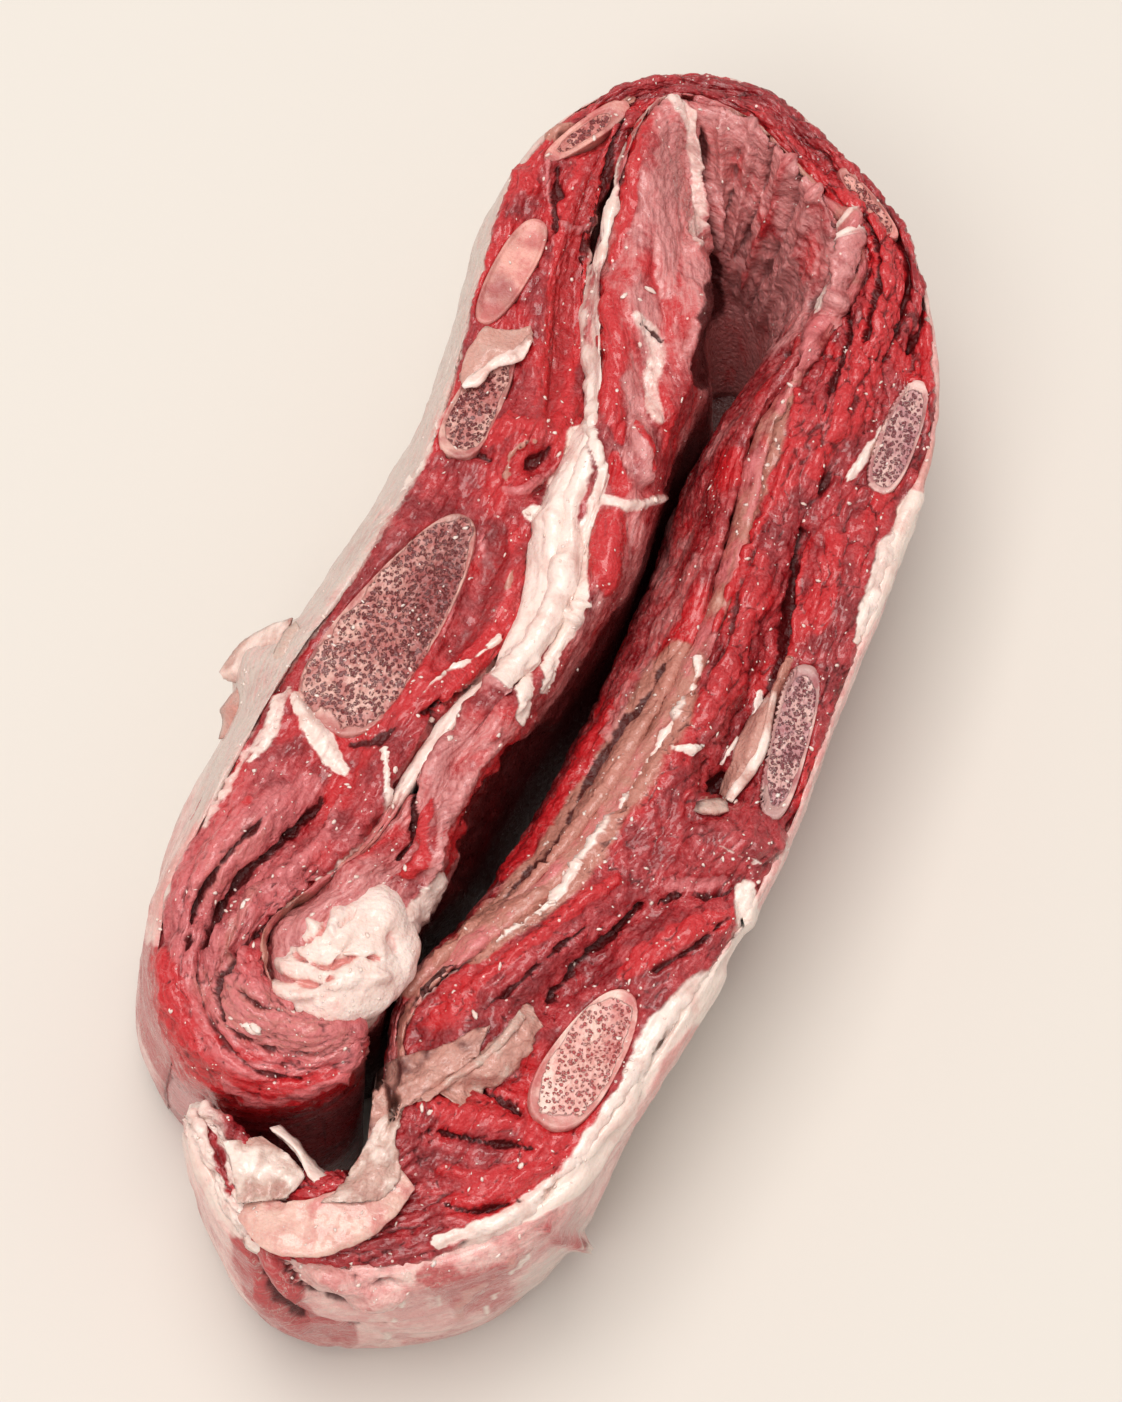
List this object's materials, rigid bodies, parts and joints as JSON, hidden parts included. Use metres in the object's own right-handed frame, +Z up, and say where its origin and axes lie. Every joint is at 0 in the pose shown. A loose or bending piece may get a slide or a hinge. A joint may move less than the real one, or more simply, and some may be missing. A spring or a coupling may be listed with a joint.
{
  "type": "raw beef short ribs",
  "caption": "Raw bone-in beef short ribs: a long cross-cut strip stood on its sawn edge and bent into a hairpin, with rib ends, white fat and a dark slot between its arms.",
  "frame": {"origin": "middle of the footprint's bounding box, on the surface that the meat stands on", "axes": "+Z up, the sawn face with the rib ends on top; +Y along the arms towards the closed bend; +X to the right arm"},
  "size_m": [0.1454, 0.3175, 0.0921],
  "materials": {
    "lean_meat": "wet lean beef",
    "inner_meat": "wet lean beef with silverskin",
    "white_fat": "moist fat",
    "cap_fat": "moist fat and membrane",
    "sawn_bone": "sawn porous bone"
  },
  "bodies": {
    "root": {"rib_muscle": "lean_meat", "inner_muscle": "inner_meat", "seam_fat": "white_fat", "outer_fat": "cap_fat", "fat_lump": "white_fat", "fat_flap": "white_fat", "rib_bone_1": "sawn_bone", "rib_bone_2": "sawn_bone", "rib_bone_3": "sawn_bone", "rib_bone_4": "sawn_bone", "rib_bone_5": "sawn_bone", "rib_bone_6": "sawn_bone", "rib_bone_7": "sawn_bone", "rib_bone_8": "sawn_bone"}
  },
  "joints": []
}
